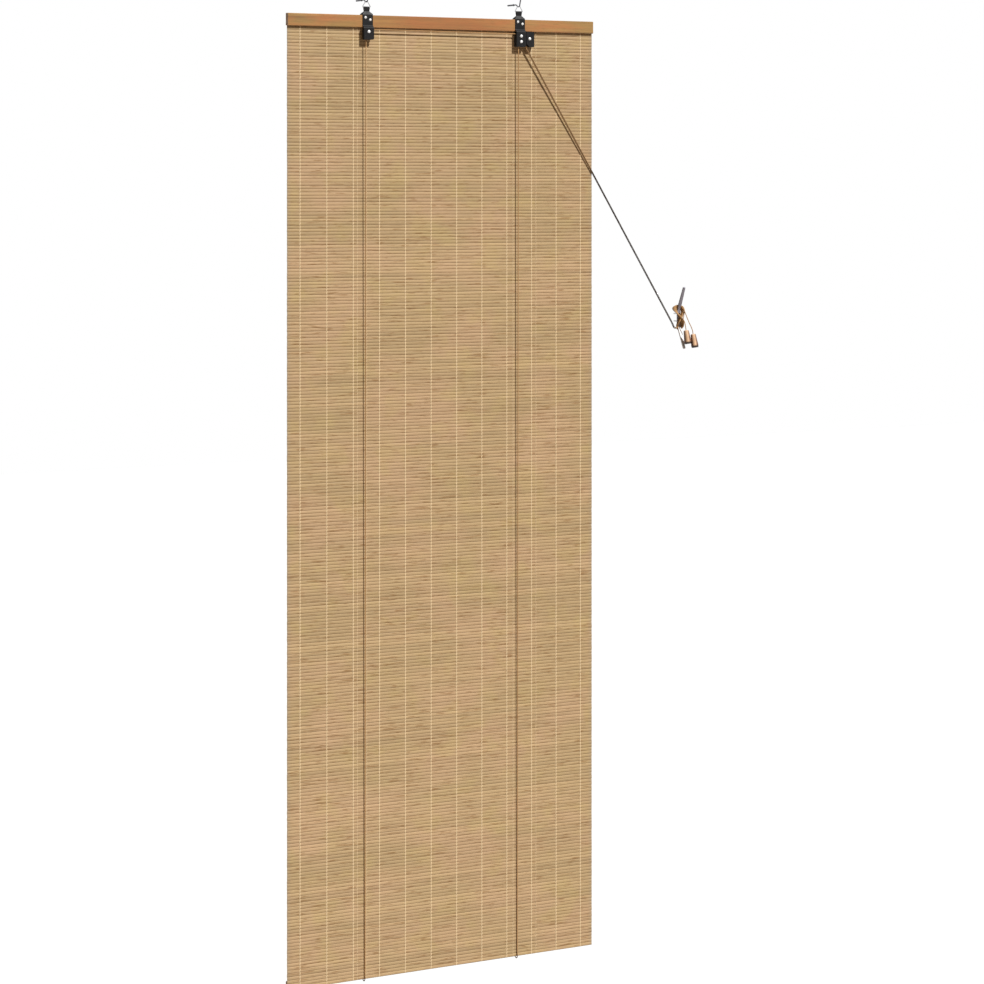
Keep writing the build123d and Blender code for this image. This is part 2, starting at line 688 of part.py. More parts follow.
def cleat_winding():
    """The outer shape of the turns round both horns, open where the cleat passes through."""
    upper = Pos(0, WINDING_TOP) * Circle(WINDING_R)
    lower = Pos(0, -WINDING_BOTTOM) * Circle(WINDING_R)
    waist = Rectangle(WINDING_WAIST, WINDING_TOP + WINDING_BOTTOM)
    outline = upper + lower + Pos(0, (WINDING_TOP - WINDING_BOTTOM) / 2) * waist
    solid = across_y(Plane.XZ * outline, -WINDING_DEPTH, 0)
    front = solid.faces().sort_by(Axis.Y)[0]
    solid = fillet(front.edges(), 4.0)
    solid = Pos(CLEAT_X, -WINDING_OFF_WALL, CLEAT_Z) * solid
    room = 2 * WINDING_PLAY
    return solid - cleat_strap(CLEAT_WIDTH + room, CLEAT_TIP_WIDTH + room, CLEAT_SHEET + room)


def wooden_pull(top):
    """A turned wooden pull, hung by its top, with a hole for the cord and a hollow foot."""
    lean = Vector(*PULL_LEAN).normalized()
    profile = [
        (PULL_TOP_R - 1.5, 0),
        (PULL_TOP_R, -1.5),
        (PULL_BOTTOM_R, -0.85 * PULL_LENGTH),
        (PULL_BOTTOM_R - 1.0, -PULL_LENGTH),
        (PULL_RECESS_R, -PULL_LENGTH),
        (PULL_RECESS_R - 1.0, -PULL_LENGTH + PULL_RECESS_DEPTH),
        (0, -PULL_LENGTH + PULL_RECESS_DEPTH),
        (0, -PULL_HOLE_DEPTH),
        (CORD_R + AXLE_PLAY, -PULL_HOLE_DEPTH),
        (CORD_R + AXLE_PLAY, 0),
    ]
    line = Plane.XZ * Polyline(*profile, close=True)
    solid = revolve(make_face(line), Axis.Z)
    return Plane(origin=top, x_dir=(1, 0, 0), z_dir=-lean) * solid


def tail(side, winding):
    """The cord's end from the winding into the wooden pull."""
    lean = Vector(*PULL_LEAN).normalized()
    end = Vector(*by_cleat(PULL_TOPS[side])) + lean * (PULL_HOLE_DEPTH - 0.2)
    points = [*(by_cleat(point) for point in CORD_END_ROUTES[side]), tuple(end)]
    solid = tube(points, bend_radii(points), CORD_D, f"{side}_cord_end")
    return solid - winding


def left_top_cord():
    """The left cord from its front run over the left roller, across and through the lock."""
    r = CORD_TURN_R
    slope = atan2(UPPER_AXLE[1] - LEFT_AXLE[1], UPPER_AXLE[0] - LEFT_AXLE[0])
    up = LEFT_AXLE[0] - r
    corner = (up, ROLLER_Y, LEFT_AXLE[1] + r / cos(slope) - r * tan(slope))
    left_side = (up, ROLLER_Y, SPLIT_Z)
    leave = left_cord_leaves_upper_roller()
    nip_x, nip_z = nip()
    dx, dz = pull_direction()
    # the two straight lines beside the upper roller meet at this corner
    over = LEFT_AXLE[1] + r / cos(slope) + (RIGHT_X - LEFT_X) * tan(slope)
    inward = Vector(nip_x, ROLLER_Y, nip_z) - Vector(*leave)
    share = (over - nip_z) / -inward.Z
    top_x = nip_x - inward.X * share
    over_corner = (top_x, ROLLER_Y, over + (top_x - RIGHT_X) * tan(slope))
    exit_at = (nip_x + dx * CORD_EXIT_RUN, ROLLER_Y, nip_z + dz * CORD_EXIT_RUN)
    points = [left_side, corner, over_corner, (nip_x, ROLLER_Y, nip_z), exit_at]
    radii = [r, r, CAM_NOSE_R + CORD_GAP + CORD_R]
    return tube(points, radii, CORD_D, "left_top_cord"), exit_at


def right_top_cord():
    """The right cord from its front run over the lower roller and out of the lock."""
    r = CORD_TURN_R
    dx, dz = pull_direction()
    side = offset_from(LOWER_AXLE, (dx, dz), r)
    up = LOWER_AXLE[0] - r
    # the line to the cleat, carried back to the upright run, is too steep for one arc
    top = LOWER_AXLE[1] + r
    share = (top - side[1]) / dz
    right_corner = (side[0] + dx * share, ROLLER_Y, top)
    points = [
        (up, ROLLER_Y, SPLIT_Z),
        (up, ROLLER_Y, top),
        right_corner,
        (side[0] + dx * CORD_EXIT_RUN, ROLLER_Y, side[1] + dz * CORD_EXIT_RUN),
    ]
    return tube(points, [r * 0.999, r * 0.999], CORD_D, "right_top_cord"), points[-1]


def pull_cord(side, start, winding):
    """The taut cord from the lock to the cleat, bent under the cleat's lower horn."""
    beside = (CORD_REACHES[side], CORD_UNDER_HORN[side], CORD_ENTERS[side])
    dx, dz = pull_direction()
    start = (start[0] + dx * CORD_JOIN_GAP, start[1], start[2] + dz * CORD_JOIN_GAP)
    points = [start, *(by_cleat(point) for point in beside)]
    solid = tube(points, bend_radii(points), CORD_D, f"{side}_pull_cord")
    return solid - winding


def front_cord(side):
    """The run down the mat's face, from the cage to the loop under the blind."""
    x = SIDES[side] - CORD_TURN_R
    return tube([(x, ROLLER_Y, SPLIT_Z), (x, FRONT_CORD_Y, BLIND_BOTTOM)], [], CORD_D)


def back_cord(side):
    """The run up behind the mat to its staple on the rear batten."""
    x = SIDES[side] - CORD_TURN_R
    top = RAIL_TOP - REAR_LEAF_HEIGHT - 1.5
    return tube([(x, BACK_CORD_Y, BLIND_BOTTOM), (x, BACK_CORD_Y, top)], [], CORD_D)


def cord_loop(side):
    """The half turn under the blind's foot."""
    x = SIDES[side] - CORD_TURN_R
    middle = (FRONT_CORD_Y + BACK_CORD_Y) / 2
    r = (BACK_CORD_Y - FRONT_CORD_Y) / 2
    arc = ThreePointArc(
        (x, FRONT_CORD_Y, BLIND_BOTTOM),
        (x, middle, BLIND_BOTTOM - r),
        (x, BACK_CORD_Y, BLIND_BOTTOM),
    )
    start = Plane(origin=arc @ 0, z_dir=arc % 0)
    return sweep(start * Circle(CORD_R), path=arc)


def build():
    os.makedirs("parts", exist_ok=True)

    keep(front_batten(), "front_batten")
    keep(rear_batten(), "rear_batten")
    keep(reed_mat(), "reed_mat")
    keep(warp_threads(FRONT_BATTEN_Y, MAT_FRONT), "front_warp_threads")
    keep(warp_threads(MAT_REAR, REAR_BATTEN_Y), "rear_warp_threads")
    keep(bottom_lath(), "bottom_lath")

    keep(bracket(LEFT_X, LEFT_CAGE_HEIGHT, [LEFT_AXLE]), "left_bracket")
    port = UPPER_AXLE[1] + CORD_TURN_R
    right_axles = [UPPER_AXLE, LOWER_AXLE]
    keep(bracket(RIGHT_X, RIGHT_CAGE_HEIGHT, right_axles, port), "right_bracket")
    keep(lock_housing(), "lock_housing")
    keep(lock_cam(), "lock_cam")

    back = BACK_LEAF_Y + SHEET / 2
    lock_back = LOCK_LEAF_Y + SHEET / 2
    keep(axle(*LEFT_AXLE, back), "left_roller_axle")
    keep(axle(*UPPER_AXLE, lock_back), "upper_roller_axle")
    keep(axle(*LOWER_AXLE, lock_back), "lower_roller_axle")
    keep(axle(*CAM_AXLE, lock_back), "cam_axle")
    keep(roller(*LEFT_AXLE), "left_roller")
    keep(roller(*UPPER_AXLE), "upper_roller")
    keep(roller(*LOWER_AXLE), "lower_roller")

    keep(group(bracket_screw(x, z) for x, z in screw_places()), "bracket_screws")
    keep(group(cord_staple(x, z) for x, z in staple_places()), "cord_staples")

    for side, x in SIDES.items():
        keep(screw_hook(x), f"{side}_screw_hook")
        keep(bail(x), f"{side}_bail")
        keep(front_cord(side), f"{side}_front_cord")
        keep(back_cord(side), f"{side}_back_cord")
        keep(cord_loop(side), f"{side}_cord_loop")
        keep(wooden_pull(by_cleat(PULL_TOPS[side])), f"{side}_wooden_pull")

    keep(cleat(), "cord_cleat")
    keep(group(cleat_screw(x, z) for x, z in cleat_screw_places()), "cleat_screws")
    winding = cleat_winding()
    keep(winding, "cleat_winding")

    left_top, left_exit = left_top_cord()
    right_top, right_exit = right_top_cord()
    keep(left_top, "left_top_cord")
    keep(right_top, "right_top_cord")
    for side, start in (("left", left_exit), ("right", right_exit)):
        keep(pull_cord(side, start, winding), f"{side}_pull_cord")
        keep(tail(side, winding), f"{side}_cord_end")


if __name__ == "__main__":
    build()
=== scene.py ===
from math import cos, pi, radians, sin

import bmesh
import bpy
from bpy.props import FloatProperty, FloatVectorProperty, IntProperty, PointerProperty
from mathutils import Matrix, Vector


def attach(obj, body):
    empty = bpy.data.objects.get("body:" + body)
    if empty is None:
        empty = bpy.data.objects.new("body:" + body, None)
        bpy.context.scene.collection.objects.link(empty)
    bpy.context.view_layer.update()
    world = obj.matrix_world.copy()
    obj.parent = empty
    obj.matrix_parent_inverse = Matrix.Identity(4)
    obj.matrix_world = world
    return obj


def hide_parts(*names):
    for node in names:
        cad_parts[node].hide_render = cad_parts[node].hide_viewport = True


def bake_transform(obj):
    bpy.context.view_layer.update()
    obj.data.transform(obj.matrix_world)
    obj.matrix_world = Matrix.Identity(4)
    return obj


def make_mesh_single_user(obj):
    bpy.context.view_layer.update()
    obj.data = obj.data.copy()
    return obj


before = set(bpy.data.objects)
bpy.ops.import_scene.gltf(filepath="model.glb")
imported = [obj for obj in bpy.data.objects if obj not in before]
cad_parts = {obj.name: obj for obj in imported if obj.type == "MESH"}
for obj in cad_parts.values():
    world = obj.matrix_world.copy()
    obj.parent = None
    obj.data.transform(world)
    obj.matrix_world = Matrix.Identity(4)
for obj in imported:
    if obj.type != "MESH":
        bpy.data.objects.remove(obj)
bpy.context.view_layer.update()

bl_info = {
    "name": "Bamboo roll up blind",
    "version": (1, 0, 0),
    "blender": (4, 5, 0),
    "location": "3D View > Sidebar > Blind",
    "description": "Dresses the packed bamboo roll up blind: mat, threads, cords, wood and metal",
    "category": "Object",
}

# Shared places, in metres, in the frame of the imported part
RAIL_TOP = -0.035
BLIND_BOTTOM = -2.225
MAT_Y = -0.0245
CLEAT = Vector((0.6607, 0.0, -0.744))
SLATS = 294
SLAT_PITCH = (RAIL_TOP - BLIND_BOTTOM) / SLATS
CLOSE_ROWS = (-0.224, -0.200, 0.184, 0.246)
STITCH_WIDTH = 0.0027
CLOSE_STITCH_WIDTH = 0.0014
CLOSE_STITCH_HEIGHT = 0.0008
STITCH_OFF_CENTRE = 0.00080

# Runs of cord on the mat
CORD_X = {"left": -0.2054, "right": 0.1946}
FRONT_CORD_TOP = (-0.0326, -0.105)
FRONT_CORD_FOOT_Y = -0.0270
BACK_CORD_Y = -0.0170
BACK_CORD_TOP = -0.0525
CORD_STEPS = 200
CORD_SIDES = 10

# Points of each pull cord, from the lock to under the cleat's lower horn
LOCK_EXITS = {"left": (0.21717, -0.0326, -0.10259), "right": (0.21531, -0.0326, -0.10377)}
CORD_RUNS = {
    "left": [(-0.0400, -0.0226, 0.0037), (-0.0297, -0.0224, -0.0126), (-0.0192, -0.0150, -0.0253)],
    "right": [(-0.0405, -0.0202, 0.0022), (-0.0302, -0.0200, -0.0141), (-0.0198, -0.0126, -0.0273)],
}
CORD_ENDS = {
    "left": [(0.0018, -0.0190, -0.0040), (0.0012, -0.0270, -0.0087), (0.0002, -0.0322, -0.0179)],
    "right": [
        (0.0085, -0.0100, 0.0236),
        (0.0080, -0.0195, 0.0120),
        (0.0112, -0.0290, -0.0090),
        (0.0172, -0.0366, -0.0271),
    ],
}
PULL_TOPS = {"left": (0.0008, -0.0340, -0.0297), "right": (0.0184, -0.0380, -0.0389)}
PULL_LEAN = (0.10, -0.12, -0.99)
CORD_STEP = 0.0007
INTO_PULL = 0.0105
STRAIGHT_OUT = 0.012

# Winding: its number of turns, its growth with each turn in lays of the cord, and its form
WINDING_TURNS = {"left": 3.72, "right": 3.50}
TALLER_PER_TURN = 0.95
WIDER_PER_TURN = 0.5
FRONT_PER_TURN = 1.65
BEHIND_MM = 1.5
TOP_FLARE = 0.05
HORN_HUG = 3.0
HUG_PER_TURN = 0.5

# Camera and light
CAMERA_PLACE = (-3.269, -6.005, -0.392)
CAMERA_LOOK = (0.4939, 0.8695, 0.0)
KEY_DIRECTION = (-0.58, 1.0, -1.35)
KEY_SPREAD_DEGREES = 1.6
FLOOR_HEIGHT = -3.2
FLOOR_SEEN = (0.86, 0.86, 0.86)
FLOOR_BOUNCE = (0.26, 0.21, 0.17)
FILL_COLOUR = (1.0, 0.84, 0.68, 1.0)


def gathers(piece):
    """Gives a piece its own copy of its mesh."""
    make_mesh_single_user(piece)


def settings():
    return bpy.context.scene.blind


# Materials


class Tree:
    """Short calls for building one material's nodes."""

    def __init__(self, name, attribute=None):
        self.material = bpy.data.materials.new(name)
        self.material.use_nodes = True
        self.nodes = self.material.node_tree.nodes
        self.links = self.material.node_tree.links
        self.shader = self.nodes["Principled BSDF"]
        if attribute:
            source = self.nodes.new("ShaderNodeAttribute")
            source.attribute_name = attribute
            self.coordinates = source.outputs["Vector"]
        else:
            self.coordinates = self.nodes.new("ShaderNodeTexCoord").outputs["Object"]

    def link(self, source, socket):
        self.links.new(source, socket)

    def feed(self, socket, value):
        """Sets a socket to a number, or links it to another socket."""
        if isinstance(value, bpy.types.NodeSocket):
            self.links.new(value, socket)
        else:
            socket.default_value = value

    def set(self, **values):
        for name, value in values.items():
            self.feed(self.shader.inputs[name.replace("_", " ")], value)

    def math(self, operation, a, b=0.0):
        node = self.nodes.new("ShaderNodeMath")
        node.operation = operation
        self.feed(node.inputs[0], a)
        self.feed(node.inputs[1], b)
        return node.outputs[0]

    def axes(self, vector=None):
        node = self.nodes.new("ShaderNodeSeparateXYZ")
        self.feed(node.inputs[0], vector or self.coordinates)
        return node.outputs

    def vector(self, x, y, z):
        node = self.nodes.new("ShaderNodeCombineXYZ")
        for socket, value in zip(node.inputs, (x, y, z)):
            self.feed(socket, value)
        return node.outputs[0]

    def scaled(self, x, y, z):
        node = self.nodes.new("ShaderNodeMapping")
        self.feed(node.inputs["Vector"], self.coordinates)
        node.inputs["Scale"].default_value = (x, y, z)
        return node.outputs[0]

    def noise(self, vector, scale=1.0, detail=3.0, roughness=0.55):
        node = self.nodes.new("ShaderNodeTexNoise")
        self.feed(node.inputs["Vector"], vector)
        node.inputs["Scale"].default_value = scale
        node.inputs["Detail"].default_value = detail
        node.inputs["Roughness"].default_value = roughness
        return node.outputs["Fac"]

    def random(self, value):
        node = self.nodes.new("ShaderNodeTexWhiteNoise")
        node.noise_dimensions = "1D"
        self.feed(node.inputs["W"], value)
        return node.outputs["Value"]

    def spread(self, value, low, high, to_low=0.0, to_high=1.0):
        node = self.nodes.new("ShaderNodeMapRange")
        self.feed(node.inputs["Value"], value)
        ends = {"From Min": low, "From Max": high, "To Min": to_low, "To Max": to_high}
        for name, number in ends.items():
            node.inputs[name].default_value = number
        return node.outputs["Result"]

    def mix(self, factor, a, b):
        node = self.nodes.new("ShaderNodeMix")
        node.data_type = "RGBA"
        self.feed(node.inputs[0], factor)
        self.feed(node.inputs[6], (*a, 1.0) if isinstance(a, tuple) else a)
        self.feed(node.inputs[7], (*b, 1.0) if isinstance(b, tuple) else b)
        return node.outputs[2]

    def bump(self, height, strength, distance):
        node = self.nodes.new("ShaderNodeBump")
        node.inputs["Strength"].default_value = strength
        node.inputs["Distance"].default_value = distance
        self.feed(node.inputs["Height"], height)
        self.link(node.outputs[0], self.shader.inputs["Normal"])


def linear(colour):
    """The shader's colour for an sRGB one given from 0 to 255."""
    return tuple(
        (c / 255 / 12.92) if c <= 10 else ((c / 255 + 0.055) / 1.055) ** 2.4 for c in colour
    )


def shade(colour, factor):
    return tuple(min(1.0, c * factor) for c in colour)


def bamboo():
    """Split bamboo: each slat has its own tone, dark streaks and dashes along it, painted shade at its
    upper and lower edges and a painted highlight along its upper part.
    """
    t = Tree("split_bamboo", "rest")
    base = tuple(settings().bamboo)
    x, _, z = t.axes()
    rows = t.math("DIVIDE", t.math("SUBTRACT", RAIL_TOP, z), SLAT_PITCH)
    slat = t.math("FLOOR", rows)
    across = t.math("FRACT", rows)
    own = t.random(slat)
    apart = t.math("MULTIPLY", slat, 7.3)

    def along(per_metre, across_metre, detail=3.0):
        place = t.vector(t.math("MULTIPLY", x, per_metre), apart, t.math("MULTIPLY", z, across_metre))
        return t.noise(place, 1.0, detail, 0.62)

    cloud = t.noise(t.scaled(5.0, 5.0, 9.0), 1.0, 2.0)
    patches = t.noise(t.scaled(11.0, 3.0, 16.0), 1.0, 2.0)
    dashes = along(26.0, 260.0)
    streaks = along(8.0, 120.0)
    fibres = along(60.0, 1500.0, 4.0)
    tone = t.mix(t.spread(own, 0.0, 1.0), shade(base, 0.90), shade(base, 1.12))
    tone = t.mix(t.spread(cloud, 0.42, 0.64, 0.0, 0.38), tone, linear((206, 166, 134)))
    tone = t.mix(t.spread(patches, 0.52, 0.66, 0.0, 0.30), tone, linear((192, 170, 110)))
    tone = t.mix(t.spread(streaks, 0.52, 0.72, 0.0, 0.40), tone, shade(base, 0.66))
    tone = t.mix(t.spread(dashes, 0.55, 0.68, 0.0, 0.70), tone, linear((136, 96, 54)))
    tone = t.mix(t.spread(fibres, 0.45, 0.75, 0.0, 0.30), tone, shade(base, 0.70))
    # Painted shade: each slat darkens towards its upper and lower edges, in the grooves between slats.
    middle = t.math("ABSOLUTE", t.math("SUBTRACT", across, 0.5))
    tone = t.mix(t.spread(middle, 0.37, 0.49, 0.0, 0.42), tone, linear((112, 78, 44)))
    # Painted highlight: a lighter band along the upper part of each slat, where the key light falls.
    lit = t.math("ABSOLUTE", t.math("SUBTRACT", across, 0.24))
    tone = t.mix(t.spread(lit, 0.0, 0.12, 0.16, 0.0), tone, shade(base, 1.45))
    edge = t.spread(t.math("ABSOLUTE", x), 0.389, 0.400, 0.0, 0.45)
    tone = t.mix(edge, tone, linear((160, 145, 122)))
    t.set(Base_Color=tone, Roughness=t.spread(fibres, 0.2, 0.8, 0.48, 0.66))
    t.shader.inputs["Specular IOR Level"].default_value = 0.25
    t.bump(t.math("ADD", fibres, t.math("MULTIPLY", dashes, 0.6)), 0.4, 0.0002)
    return t.material


def stained_wood(name, colour, along=(4.0, 90.0, 160.0)):
    """Straight-grained wood with pores along X, for the rail and the lath."""
    t = Tree(name)
    grain = t.noise(t.scaled(*along), 1.0, 6.0, 0.62)
    broad = t.noise(t.scaled(along[0] * 0.5, 12.0, 22.0), 1.0, 3.0)
    pores = t.noise(t.scaled(along[0] * 9, 700.0, 1300.0), 1.0, 2.0, 0.7)
    cast = t.noise(t.scaled(along[0] * 2.2, 30.0, 46.0), 1.0, 2.0)
    tone = t.mix(t.spread(grain, 0.3, 0.72), shade(colour, 1.3), shade(colour, 0.52))
    tone = t.mix(t.spread(cast, 0.40, 0.62, 0.0, 0.55), tone, linear((190, 112, 68)))
    tone = t.mix(t.spread(broad, 0.42, 0.68, 0.0, 0.55), tone, linear((166, 132, 72)))
    heart = t.spread(t.math("ABSOLUTE", t.axes()[0]), 0.08, 0.28, 0.6, 0.0)
    tone = t.mix(heart, tone, linear((162, 98, 54)))
    tone = t.mix(t.spread(pores, 0.56, 0.68, 0.0, 0.6), tone, shade(colour, 0.45))
    t.set(Base_Color=tone, Roughness=t.spread(grain, 0.2, 0.8, 0.34, 0.52))
    t.bump(t.math("SUBTRACT", grain, t.math("MULTIPLY", pores, 0.4)), 0.35, 0.0003)
    return t.material


def turned_wood(side):
    """Turned wood: fine rings from the lathe, grain, painted shade on the two flanks seen from the camera
    and at the foot.
    """
    t = Tree(f"{side}_turned_wood")
    colour = tuple(settings().pull_wood)
    lean = Vector(PULL_LEAN).normalized()
    top = CLEAT + Vector(PULL_TOPS[side])
    # The direction across the pull as seen from the camera.
    across = lean.cross(Vector((0.49, 0.87, 0.0))).normalized()

    def measured(direction):
        x, y, z = t.axes()
        parts = [t.math("MULTIPLY", value, number) for value, number in zip((x, y, z), direction)]
        reach = t.math("ADD", t.math("ADD", parts[0], parts[1]), parts[2])
        return t.math("SUBTRACT", reach, top.dot(direction))

    down = measured(lean)
    shaded_flank = t.math("ABSOLUTE", measured(across))
    rings = t.math("SINE", t.math("MULTIPLY", down, 9000.0))
    grain = t.noise(t.scaled(420.0, 420.0, 45.0), 1.0, 4.0, 0.6)
    tone = t.mix(t.spread(grain, 0.35, 0.7), shade(colour, 1.1), shade(colour, 0.74))
    # Painted shade: the pull darkens towards its left and right flanks as seen from the camera.
    tone = t.mix(t.spread(shaded_flank, 0.0024, 0.0056, 0.0, 0.94), tone, linear((92, 48, 22)))
    # Painted shade at the foot: the last few millimetres of the pull go nearly black, for its shaded
    # underside.
    tone = t.mix(t.spread(down, 0.0262, 0.0292, 0.0, 0.96), tone, linear((30, 18, 12)))
    t.set(Base_Color=tone, Roughness=0.5)
    t.bump(t.math("ADD", grain, t.math("MULTIPLY", rings, 0.1)), 0.3, 0.0002)
    return t.material


def thread():
    """Undyed cotton thread."""
    t = Tree("cotton_thread")
    colour = tuple(settings().thread)
    twist = t.noise(t.scaled(1500.0, 0.0, 2600.0), 1.0, 2.0)
    long = t.noise(t.scaled(30.0, 30.0, 60.0), 1.0, 3.0)
    tone = t.mix(t.spread(twist, 0.3, 0.7), shade(colour, 1.08), shade(colour, 0.72))
    tone = t.mix(t.spread(long, 0.4, 0.7, 0.0, 0.4), tone, shade(colour, 0.7))
    t.set(Base_Color=tone, Roughness=0.85)
    t.bump(twist, 0.4, 0.0002)
    return t.material


def braid(name, by_uv, darker=1.0, painted_dark_run=False):
    """Braided cotton cord: two sets of strands that cross, from the tube's UVs or from its place."""
    t = Tree(name)
    colour = shade(tuple(settings().cord), darker)
    if by_uv:
        node = t.nodes.new("ShaderNodeUVMap")
        node.uv_map = "along"
        around, along, _ = t.axes(node.outputs[0])
    else:
        x, y, z = t.axes()
        around = t.math("MULTIPLY", t.math("SUBTRACT", x, y), 330.0)
        along = t.math("MULTIPLY", t.math("ADD", z, t.math("MULTIPLY", x, 0.3)), 480.0)
    one = t.math("SINE", t.math("MULTIPLY", t.math("ADD", along, around), 2 * pi))
    two = t.math("SINE", t.math("MULTIPLY", t.math("SUBTRACT", along, around), 2 * pi))
    relief = t.math("MAXIMUM", one, two)
    fibres = t.noise(t.scaled(900.0, 900.0, 900.0), 1.0, 2.0)
    tone = t.mix(t.spread(relief, -0.6, 0.9), shade(colour, 0.5), shade(colour, 1.1))
    tone = t.mix(t.spread(fibres, 0.35, 0.75, 0.0, 0.5), tone, shade(colour, 0.62))
    if painted_dark_run:
        # Darker along the run over the mat, and painted shade, nearly black, where the cords hang clear
        # of the mat; no darkening at the cleat and the pulls.
        place = t.axes()[0]
        painted_darkening = t.math("ADD", 0.45, t.spread(place, 0.392, 0.402, 0.0, 0.50))
        painted_darkening = t.math("MULTIPLY", painted_darkening, t.spread(place, 0.636, 0.648, 1.0, 0.0))
        tone = t.mix(painted_darkening, tone, linear((30, 22, 17)))
    t.set(Base_Color=tone, Roughness=0.82)
    t.bump(relief, 0.6, 0.0002)
    return t.material


def lacquer():
    """Black lacquered sheet steel, a little uneven, rubbed to brown-grey in specks."""
    t = Tree("black_lacquer")
    colour = tuple(settings().lacquer)
    waves = t.noise(t.scaled(120.0, 120.0, 120.0), 1.0, 3.0)
    specks = t.noise(t.scaled(900.0, 900.0, 900.0), 1.0, 2.0, 0.7)
    tone = t.mix(t.spread(waves, 0.35, 0.7), colour, shade(colour, 1.7))
    tone = t.mix(t.spread(specks, 0.66, 0.74, 0.0, 0.5), tone, linear((120, 112, 104)))
    t.set(Base_Color=tone, Roughness=t.spread(waves, 0.3, 0.7, 0.42, 0.58))
    t.shader.inputs["Specular IOR Level"].default_value = 0.22
    t.bump(waves, 0.12, 0.0004)
    return t.material


def metal(name, colour, low, high, scale, metallic=1.0):
    """Plated or drawn steel with fine marks in its roughness."""
    t = Tree(name)
    marks = t.noise(t.scaled(*scale), 1.0, 4.0, 0.65)
    cloud = t.noise(t.scaled(160.0, 160.0, 160.0), 1.0, 2.0)
    tone = t.mix(t.spread(cloud, 0.35, 0.7), colour, shade(colour, 0.78))
    t.set(Base_Color=tone, Roughness=t.spread(marks, 0.3, 0.7, low, high))
    t.shader.inputs["Metallic"].default_value = metallic
    t.bump(marks, 0.15, 0.0001)
    return t.material


def grey_paint():
    """Smooth grey paint on the cleat, dulled by handling, with painted light paling its lower horn."""
    t = Tree("grey_paint")
    colour = tuple(settings().cleat)
    cloud = t.noise(t.scaled(60.0, 60.0, 60.0), 1.0, 3.0)
    fine = t.noise(t.scaled(1400.0, 1400.0, 1400.0), 1.0, 2.0)
    tone = t.mix(t.spread(cloud, 0.35, 0.7), shade(colour, 1.06), shade(colour, 0.86))
    # Painted light: the lower horn is paled almost to white, from 12 mm below the cleat's centre
    # downwards, fully by 30 mm.
    low = t.spread(t.axes()[2], CLEAT.z - 0.030, CLEAT.z - 0.012, 0.9, 0.0)
    tone = t.mix(low, tone, linear((232, 229, 226)))
    t.set(Base_Color=tone, Roughness=t.spread(cloud, 0.3, 0.7, 0.34, 0.5))
    t.bump(fine, 0.08, 0.0001)
    return t.material


def moulded():
    """Dark moulded plastic of the rollers."""
    t = Tree("roller_plastic")
    fine = t.noise(t.scaled(900.0, 900.0, 900.0), 1.0, 2.0)
    tone = t.mix(t.spread(fine, 0.3, 0.7), linear((58, 52, 47)), linear((82, 74, 66)))
    t.set(Base_Color=tone, Roughness=0.45)
    t.bump(fine, 0.1, 0.0001)
    return t.material


def background(nodes, links):
    """1 for the rays that show the background: camera, glossy and transmission rays."""
    path = nodes.new("ShaderNodeLightPath")
    total = path.outputs["Is Camera Ray"]
    for name in ("Is Glossy Ray", "Is Transmission Ray"):
        larger = nodes.new("ShaderNodeMath")
        larger.operation = "MAXIMUM"
        links.new(total, larger.inputs[0])
        links.new(path.outputs[name], larger.inputs[1])
        total = larger.outputs[0]
    return total


def dress(material, *names):
    """Gives carried-over CAD nodes a material."""
    for name in names:
        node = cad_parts[name]
        node.data.materials.clear()
        node.data.materials.append(material)


# Geometry


def curve_line(points, name):
    """The points of a smooth curve through a route, as its evaluated mesh gives them."""
    curve = bpy.data.curves.new(name, "CURVE")
    curve.dimensions = "3D"
    curve.resolution_u = 10
    spline = curve.splines.new("NURBS")
    spline.points.add(len(points) - 1)
    for target, point in zip(spline.points, points):
        target.co = (*point, 1.0)
    spline.order_u = 3
    spline.use_endpoint_u = True
    carrier = bpy.data.objects.new(name, curve)
    bpy.context.scene.collection.objects.link(carrier)
    bpy.context.view_layer.update()
    mesh = bpy.data.meshes.new_from_object(carrier.evaluated_get(bpy.context.evaluated_depsgraph_get()))
    line = [vertex.co.copy() for vertex in mesh.vertices]
    bpy.data.objects.remove(carrier)
    bpy.data.meshes.remove(mesh)
    return line


def even_steps(line, step):
    """The same line in steps of about one length."""
    kept = [line[0]]
    for point in line[1:-1]:
        if (point - kept[-1]).length >= step:
            kept.append(point)
    kept.append(line[-1])
    return kept


def tube(name, line, radius, sides=12):
    """A round tube along a line, with UVs that count braid repeats round it and along it."""
    mesh = bpy.data.meshes.new(name)
    shape = bmesh.new()
    uv = shape.loops.layers.uv.new("along")
    normal = (line[1] - line[0]).orthogonal().normalized()
    rings, lengths, travelled = [], [], 0.0
    for index, point in enumerate(line):
        before = line[max(index - 1, 0)]
        after = line[min(index + 1, len(line) - 1)]
        direction = (after - before).normalized()
        normal = (normal - direction * normal.dot(direction)).normalized()
        side = direction.cross(normal)
        ring = []
        for corner in range(sides):
            angle = 2 * pi * corner / sides
            ring.append(shape.verts.new(point + (normal * cos(angle) + side * sin(angle)) * radius))
        rings.append(ring)
        travelled += (point - before).length
        lengths.append(travelled)
    for index in range(len(rings) - 1):
        for corner in range(sides):
            after = (corner + 1) % sides
            near, far = rings[index], rings[index + 1]
            face = shape.faces.new((near[corner], near[after], far[after], far[corner]))
            face.smooth = True
            ahead = index + 1
            corners = ((corner, index), (corner + 1, index), (corner + 1, ahead), (corner, ahead))
            for loop, (u, v) in zip(face.loops, corners):
                loop[uv].uv = (3.0 * u / sides, lengths[v] / (radius * 2.2))
    shape.faces.new(reversed(rings[0]))
    shape.faces.new(rings[-1])
    bmesh.ops.recalc_face_normals(shape, faces=shape.faces)
    shape.to_mesh(mesh)
    shape.free()
    made = bpy.data.objects.new(name, mesh)
    bpy.context.scene.collection.objects.link(made)
    return made


